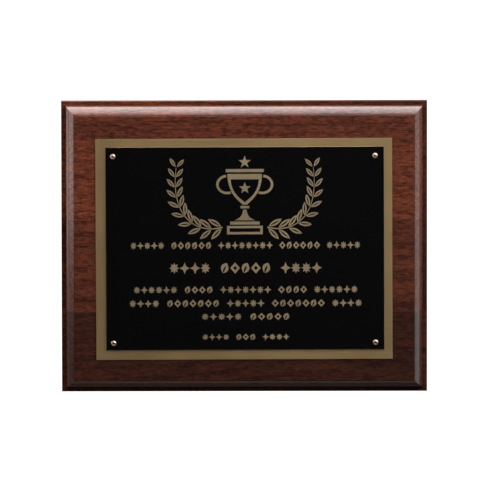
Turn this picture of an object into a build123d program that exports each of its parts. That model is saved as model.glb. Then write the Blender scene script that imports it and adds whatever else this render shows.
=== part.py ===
from build123d import *
import math
import os

os.makedirs("parts", exist_ok=True)

# A wall plaque: an edge-glued walnut board with a moulded edge, a brass backing plate, a black
# engraved plate on top of it, four brass round-head screws, and a steel keyhole hanger let into
# the back.  The plaque hangs on a wall: X runs to the viewer's right, Z is up, the face looks
# along -Y, and the origin is the centre of the flat back.

# ---- Driving dimensions (millimetres, degrees) -------------------------------------------------

# Board
board_width = 254.0
board_height = 203.2
board_thickness = 19.0
top_stave_width = 26.4
upper_stave_width = 55.5
lower_stave_width = 64.2

# Moulded edge, from the outside in: ledge, ovolo, quirk, step up to the face
ledge_width = 3.0
ledge_thickness = 6.5
ovolo_run = 5.8
ovolo_bulge = 1.35
quirk_width = 0.3
step_height = 0.6
step_radius = 0.3
ledge_arris = 0.5
back_arris = 0.6

# Brass backing plate and black engraved plate, fitted by hand a hair off square
plate_side_margin = 14.7
plate_end_margin = 15.0
backing_thickness = 0.8
backing_shift_x = -0.15
backing_shift_z = -0.35
border_width = 6.3
engraved_thickness = 0.8
engraved_shift_x = 0.5
engraved_shift_z = 0.15
plate_turn = 0.15
plate_corner_radius = 0.4
plate_arris = 0.15

# Plate screws: brass, round head, cross recess
screw_left_inset = 5.2
screw_right_inset = 6.2
screw_top_inset = 6.35
screw_bottom_inset = 5.05
screw_length = 9.5
screw_head_diameter = 3.8
screw_head_height = 1.4
screw_head_rim = 0.3
screw_thread_diameter = 2.2
screw_core_diameter = 1.6
screw_thread_pitch = 0.9
screw_point_length = 2.0
screw_recess_span = 2.4
screw_recess_width = 0.75
screw_recess_depth = 0.95
screw_turns = {"top_left": 20, "top_right": 62, "bottom_left": 75, "bottom_right": 5}
plate_hole_clearance = 0.2
pilot_clearance = 0.05
pilot_extra_depth = 0.5

# Keyhole hanger let into the back
hanger_drop = 41.0
hanger_width = 44.0
hanger_height = 19.0
hanger_thickness = 1.5
hanger_sink = 0.2
hanger_clearance = 0.15
hanger_arris = 0.25
keyhole_entry_diameter = 9.5
keyhole_slot_width = 4.8
keyhole_travel = 7.0
pocket_depth = 6.0
pocket_clearance = 1.5

# Hanger screws: steel, countersunk head, cross recess
hanger_screw_spacing = 32.0
hanger_screw_length = 11.0
hanger_screw_head_diameter = 5.4
hanger_screw_head_height = 1.3
hanger_screw_head_land = 0.15
hanger_screw_thread_diameter = 2.9
hanger_screw_core_diameter = 2.1
hanger_screw_thread_pitch = 1.2
hanger_screw_point_length = 2.4
hanger_screw_recess_span = 2.9
hanger_screw_recess_width = 0.7
hanger_screw_recess_depth = 0.9
hanger_hole_clearance = 0.05

# ---- Sizes that follow from them ---------------------------------------------------------------

moulding_run = ledge_width + ovolo_run + quirk_width + step_radius
backing_width = board_width - 2 * (moulding_run + plate_side_margin)
backing_height = board_height - 2 * (moulding_run + plate_end_margin)
engraved_width = backing_width - 2 * border_width
engraved_height = backing_height - 2 * border_width

face_y = -board_thickness
backing_front_y = face_y - backing_thickness
engraved_front_y = backing_front_y - engraved_thickness
plate_hole_diameter = screw_thread_diameter + 2 * plate_hole_clearance
pilot_diameter = screw_thread_diameter + 2 * pilot_clearance
pilot_depth = screw_length - backing_thickness - engraved_thickness + pilot_extra_depth

hanger_z = board_height / 2 - hanger_drop
hanger_back_y = -hanger_sink
hanger_front_y = hanger_back_y - hanger_thickness
pocket_width = keyhole_entry_diameter + 2 * pocket_clearance


# ---- Shared shapes -----------------------------------------------------------------------------

def along_y(sketch, from_y, to_y, x=0.0, z=0.0):
    """Extrude a sketch (its X along +X, its Y up) between two depths, centred on x, z."""
    plane = Plane(origin=(x, max(from_y, to_y), z), x_dir=(1, 0, 0), z_dir=(0, -1, 0))
    return extrude(plane * sketch, amount=abs(to_y - from_y))


def turned(edges):
    """Turn a closed outline in the XY plane about the Y axis."""
    return revolve(make_face(edges), axis=Axis.Y)


def shank_outline(length, head_depth, thread_radius, core_radius, pitch, point_length):
    """Points of a shank with ring threads, from under the head down to its point, along +Y."""
    ring_count = int((length - head_depth - point_length) / pitch)
    outline = [(core_radius, head_depth)]
    for ring in range(ring_count):
        start = head_depth + ring * pitch
        outline += [(core_radius, start + 0.25 * pitch), (thread_radius, start + 0.6 * pitch)]
        outline += [(thread_radius, start + 0.75 * pitch), (core_radius, start + pitch)]
    outline += [(core_radius, length - point_length), (0, length)]
    return outline


def cross_recess(span, width, depth):
    """Tapered cross-shaped driver recess, open at Y = 0 and narrowing towards +Y."""
    cross = Rectangle(span, width) + Rectangle(width, span)
    cone = turned(Polyline((0, -depth), (span, -depth), (0, depth), close=True))
    return along_y(cross, -depth, depth) & cone


# ---- Board -------------------------------------------------------------------------------------

def moulded_section(width):
    """Cross-section of the board: flat back on the X axis, moulding on both sides."""
    edge = width / 2
    ledge_inside = edge - ledge_width
    ovolo_inside = ledge_inside - ovolo_run
    ovolo_top = board_thickness - step_height
    ovolo_rise = ovolo_top - ledge_thickness
    ovolo_chord = math.hypot(ovolo_run, ovolo_rise)
    ovolo_crest = (
        ledge_inside - ovolo_run / 2 + ovolo_bulge * ovolo_rise / ovolo_chord,
        ledge_thickness + ovolo_rise / 2 + ovolo_bulge * ovolo_run / ovolo_chord,
    )
    step_foot = ovolo_inside - quirk_width
    half = [
        Line((0, 0), (edge - back_arris, 0)),
        Line((edge - back_arris, 0), (edge, back_arris)),
        Line((edge, back_arris), (edge, ledge_thickness - ledge_arris)),
        CenterArc((edge - ledge_arris, ledge_thickness - ledge_arris), ledge_arris, 0, 90),
        Line((edge - ledge_arris, ledge_thickness), (ledge_inside, ledge_thickness)),
        ThreePointArc((ledge_inside, ledge_thickness), ovolo_crest, (ovolo_inside, ovolo_top)),
        Line((ovolo_inside, ovolo_top), (step_foot, ovolo_top)),
        Line((step_foot, ovolo_top), (step_foot, board_thickness - step_radius)),
        CenterArc((step_foot - step_radius, board_thickness - step_radius), step_radius, 0, 90),
        Line((step_foot - step_radius, board_thickness), (0, board_thickness)),
        Line((0, board_thickness), (0, 0)),
    ]
    right = make_face(half)
    return right + mirror(right, about=Plane.YZ)


def plate_screw_places():
    """Centres of the four plate screws, on the plates' own slightly turned axes."""
    left = -(engraved_width / 2 - screw_left_inset)
    right = engraved_width / 2 - screw_right_inset
    top = engraved_height / 2 - screw_top_inset
    bottom = -(engraved_height / 2 - screw_bottom_inset)
    corners = {
        "top_left": (left, top),
        "top_right": (right, top),
        "bottom_left": (left, bottom),
        "bottom_right": (right, bottom),
    }
    turn = math.radians(plate_turn)
    places = {}
    for name, (x, z) in corners.items():
        along = x + engraved_shift_x
        up = z + engraved_shift_z
        places[name] = (
            along * math.cos(turn) - up * math.sin(turn),
            along * math.sin(turn) + up * math.cos(turn),
        )
    return places


def hanger_screw_places():
    """Centres of the hanger's two screws, left and right of the keyhole."""
    return {"left": (-hanger_screw_spacing / 2, hanger_z), "right": (hanger_screw_spacing / 2, hanger_z)}


def make_board():
    """The whole board with its moulding, screw bores and hanger pockets, before it is cut."""
    across = Plane(origin=(0, 0, 0), x_dir=(1, 0, 0), z_dir=(0, 0, -1)) * moulded_section(board_width)
    upright = Plane(origin=(0, 0, 0), x_dir=(0, 0, 1), z_dir=(1, 0, 0)) * moulded_section(board_height)
    board = extrude(across, amount=board_height, both=True) & extrude(upright, amount=board_width, both=True)

    for x, z in plate_screw_places().values():
        board -= along_y(Circle(pilot_diameter / 2), face_y - 1, face_y + pilot_depth, x, z)

    recess = SlotOverall(hanger_width + 2 * hanger_clearance, hanger_height + 2 * hanger_clearance)
    board -= along_y(recess, hanger_front_y, 1, 0, hanger_z)
    pocket = SlotCenterToCenter(keyhole_travel, pocket_width, rotation=90)
    board -= along_y(pocket, hanger_front_y - pocket_depth, hanger_front_y + 0.1, 0, hanger_z)

    bore = hanger_screw_thread_diameter / 2 + pilot_clearance
    bore_end_y = hanger_back_y - hanger_screw_length - pilot_extra_depth
    for x, z in hanger_screw_places().values():
        board -= along_y(Circle(bore), bore_end_y, hanger_front_y + 0.1, x, z)
    return board


def cut_staves(board):
    """Cut the board along its glue lines into four horizontal staves, named from the top."""
    top = board_height / 2
    glue_1 = top - top_stave_width
    glue_2 = glue_1 - upper_stave_width
    glue_3 = glue_2 - lower_stave_width
    spans = {
        "top_stave": (glue_1, top + 1),
        "upper_stave": (glue_2, glue_1),
        "lower_stave": (glue_3, glue_2),
        "bottom_stave": (-top - 1, glue_3),
    }
    staves = {}
    for name, (low, high) in spans.items():
        slab = Pos(0, -board_thickness / 2, (low + high) / 2) * Box(
            board_width + 2, board_thickness + 2, high - low
        )
        staves[name] = board & slab
    return staves


# ---- Plates ------------------------------------------------------------------------------------

def make_plate(width, height, thickness, back_y, shift_x, shift_z):
    """A sheet-metal plate with eased front edges and four clearance holes for its screws."""
    outline = RectangleRounded(width, height, plate_corner_radius)
    plate = along_y(outline, back_y - thickness, back_y)
    front_edges = plate.faces().sort_by(Axis.Y)[0].edges()
    plate = chamfer(front_edges, plate_arris)
    plate = Rot(0, -plate_turn, 0) * Pos(shift_x, 0, shift_z) * plate
    for x, z in plate_screw_places().values():
        plate -= along_y(Circle(plate_hole_diameter / 2), back_y - thickness - 1, back_y + 1, x, z)
    return plate


# ---- Screws and hanger -------------------------------------------------------------------------

def make_plate_screw(x, z, turn):
    """Round-head screw whose domed head bears on the engraved plate, driven home at any turn."""
    head_radius = screw_head_diameter / 2
    dome_rise = screw_head_height - screw_head_rim
    dome = EllipticalCenterArc((0, -screw_head_rim), head_radius, dome_rise, 270, arc_size=90)
    shank = shank_outline(
        screw_length,
        0,
        screw_thread_diameter / 2,
        screw_core_diameter / 2,
        screw_thread_pitch,
        screw_point_length,
    )
    below = Polyline((head_radius, -screw_head_rim), (head_radius, 0), *shank)
    axis_line = Line((0, screw_length), (0, -screw_head_height))
    recess = cross_recess(screw_recess_span, screw_recess_width, screw_recess_depth)
    screw = turned([dome, below, axis_line]) - Pos(0, -screw_head_height, 0) * Rot(0, turn, 0) * recess
    return Pos(x, engraved_front_y, z) * screw


def make_hanger():
    """Steel hanger plate with a keyhole and two countersunk screw holes."""
    outline = SlotOverall(hanger_width, hanger_height)
    keyhole = Pos(0, -keyhole_travel / 2) * Circle(keyhole_entry_diameter / 2)
    keyhole += SlotCenterToCenter(keyhole_travel, keyhole_slot_width, rotation=90)
    blank = along_y(outline, hanger_front_y, hanger_back_y, 0, hanger_z)
    blank = chamfer(blank.faces().sort_by(Axis.Y)[-1].edges(), hanger_arris)
    hanger = blank - along_y(keyhole, hanger_front_y - 1, hanger_back_y + 1, 0, hanger_z)
    hole = hanger_screw_thread_diameter / 2 + hanger_hole_clearance
    rim = hanger_screw_head_diameter / 2 + hanger_hole_clearance
    through = hanger_thickness + 1
    sink = turned(
        Polyline(
            (0, -1),
            (rim, -1),
            (rim, hanger_screw_head_land),
            (hole, hanger_screw_head_height),
            (hole, through),
            (0, through),
            close=True,
        )
    )
    for x, z in hanger_screw_places().values():
        hanger -= Pos(x, hanger_back_y, z) * Rot(180, 0, 0) * sink
    return hanger


def make_hanger_screw(x, z):
    """Countersunk screw whose head lies flush in the hanger plate, driven towards -Y."""
    head_radius = hanger_screw_head_diameter / 2
    neck_radius = hanger_screw_thread_diameter / 2
    shank = shank_outline(
        hanger_screw_length,
        hanger_screw_head_height,
        neck_radius,
        hanger_screw_core_diameter / 2,
        hanger_screw_thread_pitch,
        hanger_screw_point_length,
    )
    head = [
        (0, 0),
        (head_radius, 0),
        (head_radius, hanger_screw_head_land),
        (neck_radius, hanger_screw_head_height),
    ]
    recess = cross_recess(hanger_screw_recess_span, hanger_screw_recess_width, hanger_screw_recess_depth)
    screw = turned(Polyline(*head, *shank, close=True)) - Rot(0, 20, 0) * recess
    return Pos(x, hanger_back_y, z) * Rot(180, 0, 0) * screw


# ---- Assembly ----------------------------------------------------------------------------------

parts = cut_staves(make_board())
parts["brass_backing_plate"] = make_plate(
    backing_width,
    backing_height,
    backing_thickness,
    face_y,
    backing_shift_x,
    backing_shift_z,
)
parts["engraved_plate"] = make_plate(
    engraved_width,
    engraved_height,
    engraved_thickness,
    backing_front_y,
    engraved_shift_x,
    engraved_shift_z,
)
for corner, (screw_x, screw_z) in plate_screw_places().items():
    parts["plate_screw_" + corner] = make_plate_screw(screw_x, screw_z, screw_turns[corner])
parts["keyhole_hanger"] = make_hanger()
for side, (screw_x, screw_z) in hanger_screw_places().items():
    parts["hanger_screw_" + side] = make_hanger_screw(screw_x, screw_z)

for name, solid in parts.items():
    export_step(solid, f"parts/{name}.step")
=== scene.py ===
import math

import bmesh
import bpy
from mathutils import Matrix, Vector


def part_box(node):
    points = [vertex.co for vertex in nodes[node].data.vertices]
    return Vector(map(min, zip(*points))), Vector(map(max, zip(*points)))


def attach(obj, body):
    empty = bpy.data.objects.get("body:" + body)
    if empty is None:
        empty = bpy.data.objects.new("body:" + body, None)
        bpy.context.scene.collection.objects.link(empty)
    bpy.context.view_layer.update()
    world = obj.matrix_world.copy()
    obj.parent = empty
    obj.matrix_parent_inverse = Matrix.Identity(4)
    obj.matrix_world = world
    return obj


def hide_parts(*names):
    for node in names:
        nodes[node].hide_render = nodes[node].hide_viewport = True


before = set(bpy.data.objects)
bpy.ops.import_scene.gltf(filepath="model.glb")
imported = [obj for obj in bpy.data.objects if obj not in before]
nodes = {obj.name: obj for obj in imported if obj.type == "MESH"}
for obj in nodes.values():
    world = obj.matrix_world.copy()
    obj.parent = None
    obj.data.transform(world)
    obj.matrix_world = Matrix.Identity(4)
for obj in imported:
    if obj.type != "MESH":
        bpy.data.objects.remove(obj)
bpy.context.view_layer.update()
mm = 0.001


# ---- Camera ------------------------------------------------------------------------------------
# A long lens from far off, a little above the plaque and square to it, so that its sides stay
# parallel.  It is aimed at the middle of the board, at the depth of the ledge round its edge.

board_low = Vector(map(min, *[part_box(n)[0] for n in ("top_stave", "bottom_stave")]))
board_high = Vector(map(max, *[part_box(n)[1] for n in ("top_stave", "bottom_stave")]))
ledge_depth = 6.5 * mm
aim = Vector((0.5 * mm, board_high.y - ledge_depth, (board_low.z + board_high.z) / 2 + 0.9 * mm))
camera_azimuth = math.radians(0.0)
camera_elevation = math.radians(6.9)
camera_distance = 8.0
camera_roll = math.radians(-0.1)

away = Vector(
    (
        math.sin(camera_azimuth) * math.cos(camera_elevation),
        -math.cos(camera_azimuth) * math.cos(camera_elevation),
        math.sin(camera_elevation),
    )
)
camera_data = bpy.data.cameras.new("camera")
camera_data.lens = 846
camera_data.sensor_width = 36
camera_data.clip_start = 0.1
camera_data.clip_end = 200
camera = bpy.data.objects.new("camera", camera_data)
bpy.context.scene.collection.objects.link(camera)
camera.location = aim + away * camera_distance
camera.rotation_euler = (
    (-away).to_track_quat("-Z", "Y") @ Matrix.Rotation(camera_roll, 3, "Z").to_quaternion()
).to_euler()
bpy.context.scene.camera = camera
bpy.context.scene.view_settings.view_transform = "Standard"


# ---- Walnut staves -----------------------------------------------------------------------------
# Four strips of black walnut, glued edge to edge and moulded as one board.  The grain runs along
# X; each strip comes from its own plank, so each has its own growth rings, tone and streaks.  The
# strips' tones also hold painted shade, darker towards the bottom stave.
# They are sprayed with satin lacquer, thin enough that the open pores still show.

class Value:
    """An output socket of a node tree; arithmetic on it adds Math nodes to that tree."""

    def __init__(self, tree, socket):
        self.tree = tree
        self.socket = socket

    def math(self, operation, *others):
        values = dict(enumerate((self, *others)))
        return self.tree.add("ShaderNodeMath", {"operation": operation}, values)

    def __add__(self, other):
        return self.math("ADD", other)

    __radd__ = __add__

    def __mul__(self, other):
        return self.math("MULTIPLY", other)

    __rmul__ = __mul__

    def __sub__(self, other):
        return self.math("SUBTRACT", other)

    def __rsub__(self, other):
        return (self * -1.0) + other

    def __truediv__(self, other):
        return self.math("DIVIDE", other)

    def __pow__(self, other):
        return self.math("POWER", other)


class Tree:
    """A node tree written as calls: each call adds one node and gives back one of its outputs."""

    def __init__(self, tree):
        self.tree = tree

    def add(self, kind, settings=None, inputs=None, output=0):
        node = self.tree.nodes.new(kind)
        for name, value in (settings or {}).items():
            if name == "stops":
                while len(node.color_ramp.elements) < len(value):
                    node.color_ramp.elements.new(0.5)
                for element, (place, colour) in zip(node.color_ramp.elements, value):
                    element.position = place
                    element.color = colour
            else:
                setattr(node, name, value)
        for name, value in (inputs or {}).items():
            if isinstance(value, Value):
                self.tree.links.new(value.socket, node.inputs[name])
            else:
                node.inputs[name].default_value = value
        return Value(self, node.outputs[output])

    def ramp(self, value, low, high):
        """0 up to low, 1 from high on, and smooth between them."""
        limits = {"Value": value, "From Min": low, "From Max": high}
        return self.add("ShaderNodeMapRange", {"interpolation_type": "SMOOTHSTEP"}, limits)

    def blend(self, share, first, second, kind="MIX"):
        """Mix two colours, or multiply or overlay the second on the first."""
        settings = {"data_type": "RGBA", "blend_type": kind}
        return self.add("ShaderNodeMix", settings, {0: share, 6: first, 7: second}, 2)

    def grey(self, value):
        """A value as a grey colour."""
        return self.add("ShaderNodeCombineXYZ", None, {0: value, 1: value, 2: value})

    def noise(self, place, stretch, seed, detail=3.0, roughness=0.55):
        """Noise on a place that is stretched by its own amount along each axis."""
        moved = self.add("ShaderNodeVectorMath", {"operation": "MULTIPLY"}, {0: place, 1: stretch})
        shifted = self.add("ShaderNodeVectorMath", {"operation": "ADD"}, {0: moved, 1: (seed,) * 3})
        sizes = {"Vector": shifted, "Scale": 1.0, "Detail": detail, "Roughness": roughness}
        return self.add("ShaderNodeTexNoise", None, sizes)

    def bump(self, height, distance, under=None):
        """A normal from a height field, over another normal if there is one."""
        inputs = {"Height": height, "Distance": distance}
        if under:
            inputs["Normal"] = under
        return self.add("ShaderNodeBump", None, inputs)


def new_material(name):
    """A material with an empty tree, and the tree."""
    material = bpy.data.materials.new(name)
    material.use_nodes = True
    material.node_tree.nodes.clear()
    return material, Tree(material.node_tree)


def principled(tree, **inputs):
    """The surface shader, with its sockets set or linked by name, and the output node."""
    named = {name.replace("_", " ").title().replace("Ior", "IOR"): v for name, v in inputs.items()}
    shader = tree.add("ShaderNodeBsdfPrincipled", None, named)
    output = tree.tree.nodes.new("ShaderNodeOutputMaterial")
    tree.tree.links.new(shader.socket, output.inputs["Surface"])


def dress(piece, material):
    """Give a piece this one material."""
    piece.data.materials.clear()
    piece.data.materials.append(material)


def walnut(name, seed, pith, lean, tone_and_shade, ledge_painted_shading):
    """Lacquered walnut; pith is the tree's centre beside the strip, lean its slope along X."""
    material, tree = new_material(name)
    place = tree.add("ShaderNodeTexCoord", None, None, "Object")
    x, y, z = [tree.add("ShaderNodeSeparateXYZ", None, {0: place}, i) for i in range(3)]

    # Growth rings about the pith, wandering a little; their latewood edge is darker.
    wander = tree.noise(place, (5.0, 14.0, 14.0), seed, 2.0)
    wander_z = tree.noise(place, (7.0, 12.0, 12.0), seed + 3.1, 2.0)
    across = y - pith[0] + x * lean[0] + (wander - 0.5) * 0.016
    upward = z - pith[1] + x * lean[1] + (wander_z - 0.5) * 0.020
    radius = (across * across + upward * upward).math("SQRT")
    ring = (radius / 0.0042 + wander * 1.5).math("FRACT")
    latewood = tree.ramp(ring, 0.35, 0.97) * (1.0 - tree.ramp(ring, 0.97, 1.0))

    # Streaks and fibres along the grain, short ripples across it, and open pores.
    streaks = tree.noise(place, (22.0, 160.0, 160.0), seed + 7.7, 3.0)
    fibres = tree.noise(place, (140.0, 760.0, 760.0), seed + 1.3, 4.0, 0.65)
    ripple = tree.noise(place, (270.0, 600.0, 600.0), seed + 5.9, 3.0, 0.6)
    pores = tree.ramp(tree.noise(place, (130.0, 1700.0, 1700.0), seed + 9.2, 1.0), 0.56, 0.66)

    # The tone holds painted shade as well as the plank's own tone.
    light = (0.305 * tone_and_shade, 0.075 * tone_and_shade, 0.032 * tone_and_shade, 1.0)
    dark = (0.064 * tone_and_shade, 0.0125 * tone_and_shade, 0.005 * tone_and_shade, 1.0)
    depth = streaks * 0.6 + fibres * 1.15 + ripple * 1.2 - latewood * 0.15 - 0.97
    colour = tree.blend(tree.ramp(depth, 0.0, 1.0), dark, light)

    # The wood is painted a little paler on the left and darker on the right, as painted shade.  End
    # grain drinks more lacquer than the face does, and looks darker.  The ledge and the outer edges
    # are painted darker as painted shade under the moulding, lighter on the bottom stave as painted
    # light, with a patchy tone, and they are duller.
    normal = tree.add("ShaderNodeTexCoord", None, None, "Normal")
    facing = tree.add("ShaderNodeSeparateXYZ", None, {0: normal}, 0).math("ABSOLUTE")
    ledge = tree.ramp(y, -0.0072, -0.0067)
    patch = tree.noise(place, (9.0, 9.0, 9.0), seed + 2.2, 1.0)
    # Painted shade on the ledge; painted light instead where the ledge's shading is above 1.
    ledge_painted_shade = 1.0 - ledge * ((1.0 - ledge_painted_shading) + (patch - 0.5) * 1.8)

    # Painted shade: darker in the corner at the foot of the little step between moulding and face.
    step = tree.ramp(y, -0.01899, -0.0189) * (1.0 - tree.ramp(y, -0.01836, -0.01828))
    # Painted shade: darker towards the right, and more steeply so on the ledge.
    painted_side_shade = 1.02 - x * (1.4 + ledge * 1.2)
    end_grain = tree.ramp(facing, 0.8, 1.0)
    shade = (1.0 - pores * 0.5) * (1.0 - end_grain * 0.1) * ledge_painted_shade * painted_side_shade
    shade = shade * (1.0 - step * 0.6)
    colour = tree.blend(1.0, colour, tree.grey(shade), "MULTIPLY")
    relief = fibres * 0.35 - pores
    principled(
        tree,
        base_color=colour,
        roughness=0.45 + fibres * 0.15,
        normal=tree.bump(relief, 0.00003),
        coat_weight=(0.9 - pores * 0.2) * (1.0 - ledge * 0.8) * (1.0 - step * 0.7),
        coat_roughness=0.24,
        coat_ior=1.5,
        specular_ior_level=0.1,
    )
    return material


# Seed, pith, lean, tone of the face, partly painted shade that deepens towards the bottom stave,
# and painted shading of the ledge beside it: below 1 it paints shade, above 1 it paints light.
staves = {
    "top_stave": (1.0, (0.070, 0.012), (0.02, 0.05), 0.60, 0.80),
    "upper_stave": (4.0, (0.050, 0.120), (-0.03, 0.10), 0.76, 0.68),
    "lower_stave": (8.0, (0.090, -0.060), (0.05, -0.06), 0.53, 0.70),
    "bottom_stave": (13.0, (0.060, -0.130), (0.02, -0.08), 0.24, 2.0),
}
for stave, choices in staves.items():
    dress(nodes[stave], walnut("walnut_" + stave, *choices))


# ---- Brass backing plate -----------------------------------------------------------------------
# A plain sheet of cartridge brass with a fine satin brush and a clear coat.  It lies flat on the
# board, and only its rim shows round the black plate.

def brass(name, colour, roughness, brush, scratches, edge=0.9):
    """Brass; brush is how strongly fine scratches show, edge how dull its sheared edges are."""
    material, tree = new_material(name)
    place = tree.add("ShaderNodeTexCoord", None, None, "Object")
    lines = tree.noise(place, (60.0, 2600.0, 5200.0), 2.0, 2.0)
    cloud = tree.noise(place, (28.0, 28.0, 28.0), 6.0, 3.0)
    speck = tree.noise(place, (2400.0, 2400.0, 2400.0), 4.0, 1.0)
    normal = tree.add("ShaderNodeTexCoord", None, None, "Normal")
    facing = tree.add("ShaderNodeSeparateXYZ", None, {0: normal}, 1).math("ABSOLUTE")
    cut_edge = (1.0 - tree.ramp(facing, 0.5, 0.98)) * edge
    shade = 0.90 + (lines - 0.5) * brush + (cloud - 0.5) * 0.16 + (speck - 0.5) * scratches
    principled(
        tree,
        base_color=tree.blend(1.0, colour, tree.grey(shade * (1.0 - cut_edge)), "MULTIPLY"),
        metallic=1.0,
        roughness=roughness + (cloud - 0.5) * 0.10 + (lines - 0.5) * 0.08 + cut_edge * 0.2,
        normal=tree.bump(lines * 0.6 + speck * 0.4, 0.000004),
    )
    return material


satin_brass = brass("satin_brass", (0.75, 0.52, 0.255, 1.0), 0.46, 0.16, 0.10)
dress(nodes["brass_backing_plate"], satin_brass)


# ---- Black engraved plate ----------------------------------------------------------------------
# A second brass sheet with a baked black lacquer on its face.  The engraver's diamond cuts through
# the lacquer, so the artwork is a set of real openings in the coat with bare brass at the bottom.
# The artwork is a plain cup between two laurel sprays over six rows of small printer's ornaments.

plate_turn = math.radians(0.15)
lacquer_thickness = 0.04 * mm
lacquer_inset = 0.08 * mm
hole_radius = 1.3 * mm

plate_low, plate_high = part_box("engraved_plate")
plate_span = plate_high - plate_low
cos_turn, sin_turn = math.cos(plate_turn), math.sin(plate_turn)
plate_width = (plate_span.x * cos_turn - plate_span.z * sin_turn) / math.cos(2 * plate_turn)
plate_height = (plate_span.z * cos_turn - plate_span.x * sin_turn) / math.cos(2 * plate_turn)
plate_middle = (plate_low + plate_high) / 2


def plate_placement(depth):
    """From the drawing plane, X right and Y up, to the plate's face at this depth."""
    upright = Matrix.Rotation(math.pi / 2, 4, "X")
    turned = Matrix.Rotation(-plate_turn, 4, "Y")
    return Matrix.Translation((plate_middle.x, depth, plate_middle.z)) @ turned @ upright


def point_cloud(name, points):
    """Points in the drawing plane, in metres, as one hidden mesh object."""
    mesh = bpy.data.meshes.new(name)
    mesh.from_pydata([(x, y, 0.0) for x, y in points], [], [])
    return bpy.data.objects.new(name, mesh)


plate_screws = sorted(name for name in nodes if name.startswith("plate_screw"))
screw_middles = {name: sum(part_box(name), Vector()) / 2 for name in plate_screws}
to_drawing = plate_placement(0.0).inverted()
screw_holes = point_cloud(
    "screw_holes", [(to_drawing @ middle).xy for middle in screw_middles.values()]
)


def drawing(name, outlines):
    """Closed outlines, each a list of X and Y in millimetres, as one hidden curve object."""
    curve = bpy.data.curves.new(name, "CURVE")
    for points in outlines:
        spline = curve.splines.new("POLY")
        spline.points.add(len(points) - 1)
        for point, (x, y) in zip(spline.points, points):
            point.co = (x * mm, y * mm, 0.0, 1.0)
        spline.use_cyclic_u = True
    return bpy.data.objects.new(name, curve)


def bezier(ends, steps):
    """Points of a cubic Bezier curve from its four control points."""
    points = []
    for step in range(steps + 1):
        t = step / steps
        shares = ((1 - t) ** 3, 3 * t * (1 - t) ** 2, 3 * t * t * (1 - t), t ** 3)
        points.append(tuple(sum(s * p[i] for s, p in zip(shares, ends)) for i in (0, 1)))
    return points


def mirrored(half):
    """A closed outline from its right half, listed from top to bottom."""
    return half + [(-x, y) for x, y in reversed(half)]


def ring_band(x, y, radius_x, radius_y, width, start, end, steps=20):
    """A band of even width along part of an ellipse, with angles in degrees."""
    angles = [math.radians(start + (end - start) * i / steps) for i in range(steps + 1)]
    outer = [(x + radius_x * math.cos(a), y + radius_y * math.sin(a)) for a in angles]
    inner_x, inner_y = radius_x - width, radius_y - width
    inner = [(x + inner_x * math.cos(a), y + inner_y * math.sin(a)) for a in angles]
    return outer + inner[::-1]


def star(x, y, outer, inner, points):
    """A star with this many points, one of them straight up."""
    corners = []
    for i in range(2 * points):
        radius = inner if i % 2 else outer
        angle = math.pi / 2 + math.pi * i / points
        corners.append((x + radius * math.cos(angle), y + radius * math.sin(angle)))
    return corners


def flipped(outline):
    """The same outline on the other side of the middle line."""
    return [(-x, y) for x, y in outline]


# The cup, from the rim down: bowl with an open panel and a star on it, knop, foot and plinth.
emblem_rise = 37.1
bowl = bezier([(12.0, 15.0), (11.8, 1.0), (4.5, -3.5), (1.5, -6.5)], 14)
panel = bezier([(9.8, 11.2), (9.2, 1.5), (3.6, -1.6), (0.3, -4.6)], 12)
cup = [
    mirrored([(13.2, 18.4), (13.2, 16.2)]),
    mirrored(bowl),
    mirrored(panel),
    star(0.0, 5.0, 4.2, 1.8, 5),
    mirrored([(2.8, -7.3), (3.2, -8.2), (2.8, -9.1)]),
    mirrored(bezier([(1.3, -9.9), (1.6, -14.5), (3.5, -16.0), (7.4, -17.4)], 8)),
    mirrored([(10.2, -18.2), (10.2, -20.4)]),
    mirrored([(12.4, -21.2), (12.4, -27.2)]),
    mirrored([(10.6, -22.9), (10.6, -25.5)]),
    star(0.0, 23.2, 4.5, 1.8, 5),
]
handle = ring_band(12.2, 7.6, 7.6, 6.8, 1.7, -112, 84)
cup += [handle, flipped(handle)]


def stem_strip(ends, width):
    """A thin strip along a Bezier curve, tapering to its tip."""
    line = bezier(ends, 24)
    left, right = [], []
    for i, (x, y) in enumerate(line):
        ax, ay = line[max(i - 1, 0)]
        bx, by = line[min(i + 1, len(line) - 1)]
        length = math.hypot(bx - ax, by - ay)
        half = width / 2 * (1 - 0.6 * i / len(line))
        nx, ny = -(by - ay) / length * half, (bx - ax) / length * half
        left.append((x + nx, y + ny))
        right.append((x - nx, y - ny))
    return left + right[::-1]


stem_ends = [(15.5, -22.2), (34.0, -27.2), (52.0, -15.0), (47.5, 19.4)]
stem = stem_strip(stem_ends, 0.9)
emblem_outlines = cup + [stem, flipped(stem)]
emblem = drawing("emblem", [[(x, y + emblem_rise) for x, y in o] for o in emblem_outlines])

stem_line = bpy.data.curves.new("stem_line", "CURVE")
for side in (1, -1):
    spline = stem_line.splines.new("POLY")
    line = bezier(stem_ends, 40)
    spline.points.add(len(line) - 1)
    for point, (x, y) in zip(spline.points, line):
        point.co = (side * x * mm, (y + emblem_rise) * mm, 0.0, 1.0)
stems = bpy.data.objects.new("stem_line", stem_line)

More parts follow.
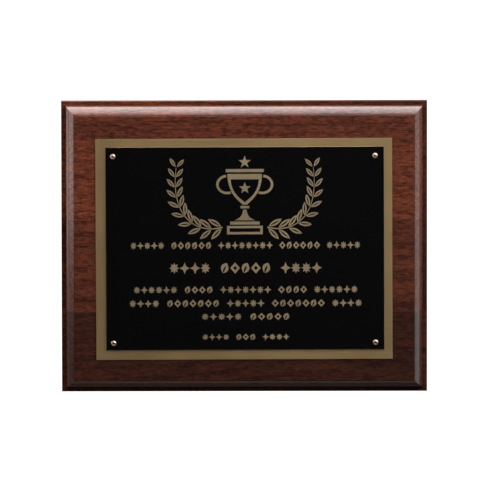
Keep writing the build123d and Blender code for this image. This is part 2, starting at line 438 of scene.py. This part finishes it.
# Rows of ornaments: height of the row's middle, its width, the ornaments' height, and the groups.
ornament_rows = [
    (2.2, 160.0, 5.4, (5, 6, 8, 6, 5)),
    (-13.6, 106.0, 7.8, (4, 5, 4)),
    (-28.8, 156.0, 5.4, (6, 4, 7, 4, 6)),
    (-38.3, 162.0, 5.4, (4, 7, 5, 7, 4)),
    (-47.6, 62.0, 5.2, (5, 5)),
    (-61.8, 61.0, 4.6, (4, 3, 4)),
]
engraving_shift = 0.3
mark_places, mark_sizes, mark_kinds = [], [], []
for height, width, size, groups in ornament_rows:
    pitch = width / (sum(groups) + 0.85 * (len(groups) - 1))
    x = -width / 2 + pitch / 2 + engraving_shift
    for group, count in enumerate(groups):
        for i in range(count):
            edge_distance = min(i, count - 1 - i)
            mark_places.append((x * mm, height * mm))
            mark_sizes.append((min(pitch * 0.94, size) * mm, size * mm, 1.0))
            mark_kinds.append((edge_distance * 2 + group) % 4)
            x += pitch
        x += 0.85 * pitch
ornaments = point_cloud("ornament_places", mark_places)
marks = ornaments.data
marks.attributes.new("size", "FLOAT_VECTOR", "POINT").data.foreach_set(
    "vector", [v for size in mark_sizes for v in size]
)
marks.attributes.new("kind", "INT", "POINT").data.foreach_set("value", mark_kinds)


def geometry_tree(name, sockets):
    """A geometry node group with named inputs, its Tree, and its inputs as values."""
    group = bpy.data.node_groups.new(name, "GeometryNodeTree")
    for label, kind, default in sockets:
        socket = group.interface.new_socket(label, in_out="INPUT", socket_type="NodeSocket" + kind)
        if default is not None:
            socket.default_value = default
    group.interface.new_socket("Geometry", in_out="OUTPUT", socket_type="NodeSocketGeometry")
    tree = Tree(group)
    entry = group.nodes.new("NodeGroupInput")
    return group, tree, {label: Value(tree, entry.outputs[label]) for label, _, _ in sockets}


def join(tree, parts):
    """Join several geometries."""
    node = tree.tree.nodes.new("GeometryNodeJoinGeometry")
    for part in parts:
        tree.tree.links.new(part.socket, node.inputs[0])
    return Value(tree, node.outputs[0])


def vector(tree, x=0.0, y=0.0, z=0.0):
    return tree.add("ShaderNodeCombineXYZ", None, {0: x, 1: y, 2: z})


def leaf_outline(tree, length, width):
    """A pointed oval lying along X from the origin: a circle squeezed towards both its tips."""
    circle = tree.add("GeometryNodeCurvePrimitiveCircle", None, {"Resolution": 20, "Radius": 1.0})
    place = tree.add("GeometryNodeInputPosition")
    cx, cy = [tree.add("ShaderNodeSeparateXYZ", None, {0: place}, i) for i in (0, 1)]
    new_x = (cx + 1.0) * length * 0.5
    new_y = cy * cy.math("ABSOLUTE") * width * 0.5
    settings = {"Geometry": circle, "Position": vector(tree, new_x, new_y, 0.0)}
    return tree.add("GeometryNodeSetPosition", None, settings)


def engraved_coat():
    """The lacquer sheet: the plate's outline less its holes, the emblem, leaves and ornaments."""
    group, tree, given = geometry_tree(
        "engraved_coat",
        [
            ("Width", "Float", 0.19),
            ("Height", "Float", 0.14),
            ("Thickness", "Float", 0.00004),
            ("Hole Radius", "Float", 0.0013),
            ("Holes", "Object", None),
            ("Emblem", "Object", None),
            ("Stems", "Object", None),
            ("Leaf Count", "Int", 10),
            ("Leaf Length", "Float", 0.0105),
            ("Leaf Width", "Float", 0.0036),
            ("Leaf Splay", "Float", 0.7),
            ("Ornaments", "Object", None),
            ("Material", "Material", None),
        ],
    )
    sheet = tree.add(
        "GeometryNodeCurvePrimitiveQuadrilateral",
        None,
        {"Width": given["Width"], "Height": given["Height"]},
    )
    corners = tree.add("GeometryNodeObjectInfo", None, {"Object": given["Holes"]}, "Geometry")
    hole = tree.add(
        "GeometryNodeCurvePrimitiveCircle", None, {"Resolution": 32, "Radius": given["Hole Radius"]}
    )
    holes = tree.add("GeometryNodeInstanceOnPoints", None, {"Points": corners, "Instance": hole})

    drawn = tree.add("GeometryNodeObjectInfo", None, {"Object": given["Emblem"]}, "Geometry")

    stem_curves = tree.add("GeometryNodeObjectInfo", None, {"Object": given["Stems"]}, "Geometry")
    spaced = tree.add(
        "GeometryNodeResampleCurve", None, {"Curve": stem_curves, "Count": given["Leaf Count"]}
    )
    tangent = tree.add("GeometryNodeInputTangent")
    tx, ty = [tree.add("ShaderNodeSeparateXYZ", None, {0: tangent}, i) for i in (0, 1)]
    heading = ty.math("ARCTAN2", tx)
    share = tree.add("GeometryNodeSplineParameter", None, None, "Factor")
    size = 1.0 - share * 0.30
    leaf = leaf_outline(tree, given["Leaf Length"], given["Leaf Width"])
    vein = leaf_outline(tree, given["Leaf Length"] * 0.72, given["Leaf Width"] * 0.26)
    vein = tree.add(
        "GeometryNodeTransform",
        None,
        {"Geometry": vein, "Translation": vector(tree, given["Leaf Length"] * 0.12)},
    )
    one_leaf = tree.add(
        "GeometryNodeTransform",
        None,
        {"Geometry": join(tree, [leaf, vein]), "Translation": vector(tree, 0.0011)},
    )
    sprays = []
    for turn in (1.0, -1.0):
        rotation = vector(tree, 0.0, 0.0, heading + given["Leaf Splay"] * turn)
        sprays.append(
            tree.add(
                "GeometryNodeInstanceOnPoints",
                None,
                {
                    "Points": spaced,
                    "Instance": one_leaf,
                    "Rotation": rotation,
                    "Scale": vector(tree, size, size, 1.0),
                },
            )
        )

    marks_at = tree.add("GeometryNodeObjectInfo", None, {"Object": given["Ornaments"]}, "Geometry")
    kind = tree.add("GeometryNodeInputNamedAttribute", {"data_type": "INT"}, {"Name": "kind"})
    mark_size = tree.add(
        "GeometryNodeInputNamedAttribute", {"data_type": "FLOAT_VECTOR"}, {"Name": "size"}
    )
    diamond = tree.add("GeometryNodeCurvePrimitiveCircle", None, {"Resolution": 4, "Radius": 0.5})
    core = tree.add("GeometryNodeCurvePrimitiveCircle", None, {"Resolution": 4, "Radius": 0.2})
    spark = tree.add(
        "GeometryNodeCurveStar", None, {"Points": 4, "Inner Radius": 0.23, "Outer Radius": 0.52}
    )
    flower = tree.add(
        "GeometryNodeCurveStar", None, {"Points": 8, "Inner Radius": 0.29, "Outer Radius": 0.50}
    )
    upright_leaf = tree.add(
        "GeometryNodeTransform",
        None,
        {
            "Geometry": join(tree, [leaf_outline(tree, 1.0, 0.8), leaf_outline(tree, 0.75, 0.18)]),
            "Translation": vector(tree, -0.5),
            "Rotation": (0.0, 0.0, 0.0),
        },
    )
    upright_leaf = tree.add(
        "GeometryNodeTransform", None, {"Geometry": upright_leaf, "Rotation": (0.0, 0.0, 1.15)}
    )
    shapes = [join(tree, [diamond, core]), spark, upright_leaf, flower]
    shapes = tree.add("GeometryNodeGeometryToInstance", None, {0: shapes[0]}), *[
        tree.add("GeometryNodeGeometryToInstance", None, {0: s}) for s in shapes[1:]
    ]
    rows = tree.add(
        "GeometryNodeInstanceOnPoints",
        None,
        {
            "Points": marks_at,
            "Instance": join(tree, shapes),
            "Pick Instance": True,
            "Instance Index": kind,
            "Scale": mark_size,
        },
    )

    outlines = tree.add(
        "GeometryNodeRealizeInstances", None, {0: join(tree, [sheet, holes, drawn, *sprays, rows])}
    )
    filled = tree.add("GeometryNodeFillCurve", None, {0: outlines})
    raised = tree.add(
        "GeometryNodeExtrudeMesh",
        None,
        {"Mesh": filled, "Offset Scale": given["Thickness"], "Individual": False},
    )
    under = tree.add("GeometryNodeFlipFaces", None, {0: filled})
    sheet_faces = join(tree, [raised, under])
    closed = tree.add(
        "GeometryNodeMergeByDistance", None, {"Geometry": sheet_faces, "Distance": 1e-7}
    )
    finished = tree.add("GeometryNodeSetMaterial", None, {0: closed, "Material": given["Material"]})
    output = group.nodes.new("NodeGroupOutput")
    group.links.new(finished.socket, output.inputs[0])
    return group


def grown(name, group, values):
    """Run a geometry node group with these inputs and keep the result as a plain mesh."""
    start = bpy.data.objects.new(name + "_start", bpy.data.meshes.new(name + "_start"))
    bpy.context.scene.collection.objects.link(start)
    modifier = start.modifiers.new("grow", "NODES")
    modifier.node_group = group
    identifiers = {s.name: s.identifier for s in group.interface.items_tree if s.in_out == "INPUT"}
    for label, value in values.items():
        modifier[identifiers[label]] = value
    evaluated = start.evaluated_get(bpy.context.evaluated_depsgraph_get())
    mesh = bpy.data.meshes.new_from_object(evaluated)
    mesh.name = name
    bpy.data.objects.remove(start)
    piece = bpy.data.objects.new(name, mesh)
    bpy.context.scene.collection.objects.link(piece)
    return piece


black, black_tree = new_material("black_lacquer")
black_place = black_tree.add("ShaderNodeTexCoord", None, None, "Object")
orange_peel = black_tree.noise(black_place, (900.0, 900.0, 900.0), 1.0, 2.0)
specks = black_tree.noise(black_place, (2600.0, 2600.0, 2600.0), 5.0, 1.0)
dust = black_tree.ramp(specks, 0.74, 0.80)
haze = black_tree.noise(black_place, (24.0, 24.0, 24.0), 9.0, 3.0)
jet, dusty = (0.0026, 0.0026, 0.0028, 1.0), (0.02, 0.02, 0.02, 1.0)
principled(
    black_tree,
    base_color=black_tree.blend(dust * 0.25, jet, dusty),
    roughness=0.24 + (haze - 0.5) * 0.10 + dust * 0.1,
    specular_ior_level=0.12,
    normal=black_tree.bump(orange_peel, 0.000006),
)

for helper in (emblem, stems, ornaments, screw_holes):
    bpy.context.scene.collection.objects.link(helper)
coat = grown(
    "engraved_plate_lacquer",
    engraved_coat(),
    {
        "Width": plate_width - 2 * lacquer_inset,
        "Height": plate_height - 2 * lacquer_inset,
        "Thickness": lacquer_thickness,
        "Hole Radius": hole_radius,
        "Holes": screw_holes,
        "Emblem": emblem,
        "Stems": stems,
        "Leaf Count": 10,
        "Leaf Length": 10.5 * mm,
        "Leaf Width": 3.6 * mm,
        "Leaf Splay": math.radians(38),
        "Ornaments": ornaments,
        "Material": black,
    },
)
for helper in (emblem, stems, ornaments, screw_holes):
    bpy.data.objects.remove(helper)
coat.data.transform(plate_placement(plate_low.y + lacquer_thickness))
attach(coat, "root")


def plate_core():
    """The brass sheet under the lacquer: a copy of the plate's solid, thinned by the coat."""
    mesh = nodes["engraved_plate"].data.copy()
    mesh.name = "engraved_plate_brass"
    solid = bmesh.new()
    solid.from_mesh(mesh)
    bmesh.ops.remove_doubles(solid, verts=solid.verts, dist=1e-6)
    under_coat = plate_low.y + lacquer_thickness
    for vertex in solid.verts:
        vertex.co.y = max(vertex.co.y, under_coat)
    solid.to_mesh(mesh)
    solid.free()
    return bpy.data.objects.new("engraved_plate_brass", mesh)


core_brass = brass("engraved_brass", (0.86, 0.68, 0.42, 1.0), 0.45, 0.25, 0.35)
core = plate_core()
bpy.context.scene.collection.objects.link(core)
dress(core, core_brass)
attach(core, "root")
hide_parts("engraved_plate")


# ---- Plate screws ------------------------------------------------------------------------------
# Four small brass screws with round polished heads and a cross recess.  They pass through both
# plates and hold them to the board.  The recess is painted dark brown, as painted shade.

head_radius = 1.9 * mm
head_height = 1.4 * mm
head_rim = 0.3 * mm
recess_reach = 1.25 * mm


def screw_finish(name, middle, front):
    """Bright brass, with painted shade in dark brown where the surface lies below the head's dome,
    inside the recess.
    """
    material, tree = new_material(name)
    place = tree.add("ShaderNodeTexCoord", None, None, "Object")
    x, y, z = [tree.add("ShaderNodeSeparateXYZ", None, {0: place}, i) for i in range(3)]
    across, up = x - middle.x, z - middle.z
    reach = across * across + up * up
    sag = reach * (0.57 * (head_height - head_rim) / head_radius ** 2)
    # Painted shade: the cross recess is coloured dark brown.
    below = tree.ramp(y - front - sag, 0.00003, 0.0001)
    recess_shade = below * (1.0 - tree.ramp(reach, 0.85 * recess_reach ** 2, recess_reach ** 2))
    wear = tree.noise(place, (1400.0, 1400.0, 1400.0), 3.0, 2.0)
    brass_and_recess_shade = tree.blend(recess_shade, (0.80, 0.61, 0.49, 1.0), (0.09, 0.03, 0.012, 1.0))
    shade = 0.92 + (wear - 0.5) * 0.25
    principled(
        tree,
        base_color=tree.blend(1.0, brass_and_recess_shade, tree.grey(shade), "MULTIPLY"),
        metallic=1.0,
        roughness=0.36 + (wear - 0.5) * 0.12 + recess_shade * 0.3,
        normal=tree.bump(wear, 0.000004),
    )
    return material


for name in plate_screws:
    dress(nodes[name], screw_finish(name + "_brass", screw_middles[name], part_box(name)[0].y))


# ---- Keyhole hanger and its screws -------------------------------------------------------------
# A stamped steel plate with a keyhole, zinc plated, let into the back so that the plaque lies
# flat on the wall.  Two countersunk screws hold it over the pocket for the wall screw's head.

steel, steel_tree = new_material("zinc_plated_steel")
steel_place = steel_tree.add("ShaderNodeTexCoord", None, None, "Object")
spangle = steel_tree.noise(steel_place, (420.0, 420.0, 420.0), 3.0, 2.0)
rolled = steel_tree.noise(steel_place, (90.0, 900.0, 3600.0), 8.0, 2.0)
zinc_shade = 0.86 + (spangle - 0.5) * 0.3 + (rolled - 0.5) * 0.2
zinc = (0.62, 0.62, 0.60, 1.0)
principled(
    steel_tree,
    base_color=steel_tree.blend(1.0, zinc, steel_tree.grey(zinc_shade), "MULTIPLY"),
    metallic=1.0,
    roughness=0.30 + (spangle - 0.5) * 0.2,
    normal=steel_tree.bump(rolled, 0.00001),
)
for name in ("keyhole_hanger", "hanger_screw_left", "hanger_screw_right"):
    dress(nodes[name], steel)


# ---- Studio ------------------------------------------------------------------------------------
# A pale floor and a pale dome behind everything, and large soft lights.  The floor and the dome
# are seen by the camera alone, so that they don't glare in the lacquer.

def stage_material(name, colour, glow):
    material, tree = new_material(name)
    principled(
        tree,
        base_color=colour,
        emission_color=colour,
        emission_strength=glow,
        roughness=1.0,
    )
    return material


def stage_mesh(name, points, faces, material):
    mesh = bpy.data.meshes.new(name)
    mesh.from_pydata(points, [], faces)
    thing = bpy.data.objects.new(name, mesh)
    bpy.context.scene.collection.objects.link(thing)
    mesh.materials.append(material)
    for ray in ("diffuse", "glossy", "transmission", "shadow"):
        setattr(thing, "visible_" + ray, False)
    return thing


floor_z = board_low.z - 0.45
studio_radius = 8.2
sides, rings = 48, 12
white = stage_material("studio_white", (0.9, 0.9, 0.9, 1.0), 1.3)


def ring_points(height):
    """Points round the studio's dome at this height."""
    radius = math.sqrt(max(studio_radius ** 2 - height ** 2, 1e-6))
    angles = [2 * math.pi * i / sides for i in range(sides)]
    return [(radius * math.cos(a), radius * math.sin(a), height) for a in angles]


lowest = math.asin(floor_z / studio_radius)
tilts = [lowest + (math.pi / 2 - lowest) * i / rings for i in range(rings + 1)]
heights = [studio_radius * math.sin(tilt) for tilt in tilts]
dome_points = [point for height in heights for point in ring_points(height)]


def dome_quad(ring, i):
    """One face of the dome, between two of its rings of points."""
    low, high, after = ring * sides, (ring + 1) * sides, (i + 1) % sides
    return (low + i, low + after, high + after, high + i)


dome_faces = [dome_quad(ring, i) for ring in range(rings) for i in range(sides)]
stage_mesh("floor", ring_points(floor_z), [tuple(range(sides))], white)
stage_mesh("dome", dome_points, dome_faces, white)

world = bpy.data.worlds.new("studio")
bpy.context.scene.world = world
world.use_nodes = True
world.node_tree.nodes["Background"].inputs["Color"].default_value = (1.0, 1.0, 1.0, 1.0)
world.node_tree.nodes["Background"].inputs["Strength"].default_value = 0.06


def softbox(name, place, target, width, height, radiance, colour=(1.0, 1.0, 1.0)):
    """A rectangular soft light, given by how bright its face looks."""
    data = bpy.data.lights.new(name, "AREA")
    data.shape = "RECTANGLE"
    data.size, data.size_y = width, height
    data.energy = radiance * math.pi * width * height
    data.color = colour
    light = bpy.data.objects.new(name, data)
    bpy.context.scene.collection.objects.link(light)
    light.location = place
    light.rotation_euler = (Vector(target) - Vector(place)).to_track_quat("-Z", "Y").to_euler()
    light.visible_camera = False
    return light


softbox("overhead_rear", (0.0, 0.38, 0.55), (0, 0.38, 0), 1.1, 0.8, 5.2)
softbox("overhead_front", (0.42, -0.56, 0.55), (0.42, -0.56, 0), 1.1, 0.8, 3.7)
softbox("front_right", (0.8, -0.62, 0.5), (0, 0, 0.02), 0.55, 0.5, 6.5)
softbox("floor_bounce", (0.0, -0.1, -0.9), (0, -0.1, 0), 1.2, 0.6, 0.6, (1.0, 0.62, 0.5))
softbox("left_wall", (-0.75, 0.0, 0.31), (0, 0.0, 0.31), 0.6, 0.75, 2.9, (1.0, 0.86, 0.82))
softbox("right_wall", (0.75, 0.1, 0.12), (0, 0.1, 0.12), 0.4, 0.7, 1.5)
softbox("rear_left", (-0.45, 0.9, 0.27), (0, 0, 0.27), 1.1, 0.8, 1.5)
softbox("rear_right", (0.9, 1.2, 0.4), (0, 0, 0), 0.9, 0.9, 1.0)
